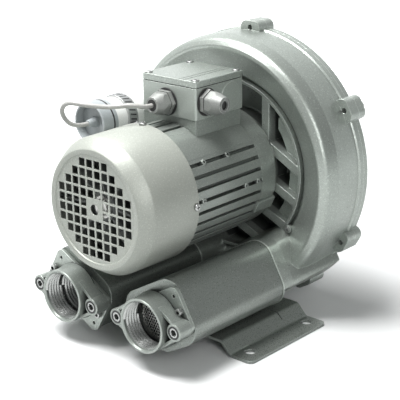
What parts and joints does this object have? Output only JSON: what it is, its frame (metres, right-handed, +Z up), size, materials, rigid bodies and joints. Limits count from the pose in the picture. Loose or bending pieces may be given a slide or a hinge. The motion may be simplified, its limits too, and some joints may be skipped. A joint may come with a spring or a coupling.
{
  "type": "side channel blower",
  "caption": "Side channel blower: flanged motor with ringed casing, twin silencer ducts with threaded ports, terminal box, capacitor and bent foot bracket.",
  "frame": {"origin": "centre of the four foot holes, on the underside of the foot flanges", "axes": "+Z up from the base, +Y back along the shaft from the fan cowl to the pump casing, +X to the right seen from the fan end"},
  "size_m": [0.287, 0.2905, 0.31],
  "materials": {
    "painted_casting": "satin silver-grey paint over fine cast grain",
    "painted_sheet": "satin silver-grey paint on pressed sheet",
    "bare_aluminium": "as cast and machined",
    "steel": "ground",
    "screws": "zinc plated",
    "laminations": "stacked sheet",
    "copper_winding": "varnished wire",
    "black_rubber": "matt",
    "fan_plastic": "moulded",
    "nickel_gland": "nickel plated brass, slightly dull",
    "grey_plastic": "satin moulded",
    "cable_jacket": "smooth jacket",
    "foam": "open cell foam"
  },
  "bodies": {
    "root": {"capacitor_cable": "cable_jacket", "capacitor_can": "grey_plastic", "capacitor_cap": "grey_plastic", "capacitor_clamp": "bare_aluminium", "capacitor_gland_body": "nickel_gland", "capacitor_gland_nut": "nickel_gland", "capacitor_gland_seal": "black_rubber", "casing": "painted_casting", "clamp_screws": "screws", "cover": "painted_casting", "cover_bolts": "screws", "cowl_screws": "screws", "duct_gaskets": "black_rubber", "end_plate_screws": "screws", "fan_cowl": "painted_sheet", "fan_end_shield": "painted_casting", "foot_bolts": "screws", "foot_bracket": "painted_sheet", "front_bearing_outer_ring": "steel", "gland_lock_nuts": "nickel_gland", "inlet_screen": "steel", "left_end_plate": "painted_casting", "left_port_flange": "painted_casting", "left_silencer": "painted_casting", "left_silencer_foam": "foam", "lid_gasket": "black_rubber", "lid_screws": "screws", "mains_gland_body": "nickel_gland", "mains_gland_nut": "nickel_gland", "mains_gland_seal": "black_rubber", "motor_frame": "painted_casting", "port_flange_screws": "screws", "port_gaskets": "black_rubber", "rear_bearing_outer_ring": "steel", "right_end_plate": "painted_casting", "right_port_flange": "painted_casting", "right_silencer": "painted_casting", "right_silencer_foam": "foam", "shaft_seal": "black_rubber", "stator_core": "laminations", "stator_windings": "copper_winding", "terminal_block": "fan_plastic", "terminal_box": "painted_casting", "terminal_lid": "painted_casting", "terminal_studs": "screws", "tie_screws": "screws", "wave_spring": "steel"},
    "rotor": {"shaft": "steel", "rotor_core": "laminations", "impeller": "bare_aluminium", "impeller_key": "steel", "impeller_washer": "steel", "impeller_screw": "screws", "cooling_fan": "fan_plastic", "fan_clip": "steel", "front_bearing_inner_ring": "steel", "rear_bearing_inner_ring": "steel"},
    "front_ball_set": {"front_bearing_balls": "steel"},
    "rear_ball_set": {"rear_bearing_balls": "steel"}
  },
  "joints": [
    {"name": "rotor_spin", "type": "hinge", "parent": "root", "child": "rotor", "pos_m": [0, 0, 0.158], "axis": [0, 1, 0], "continuous": true},
    {"name": "front_balls_spin", "type": "hinge", "parent": "root", "child": "front_ball_set", "pos_m": [0, -0.0887, 0.158], "axis": [0, 1, 0], "continuous": true},
    {"name": "rear_balls_spin", "type": "hinge", "parent": "root", "child": "rear_ball_set", "pos_m": [0, 0.0593, 0.158], "axis": [0, 1, 0], "continuous": true}
  ],
  "couplings": [
    {"joint": "front_balls_spin", "follows": "rotor_spin", "ratio": 0.3821},
    {"joint": "rear_balls_spin", "follows": "rotor_spin", "ratio": 0.3821}
  ]
}
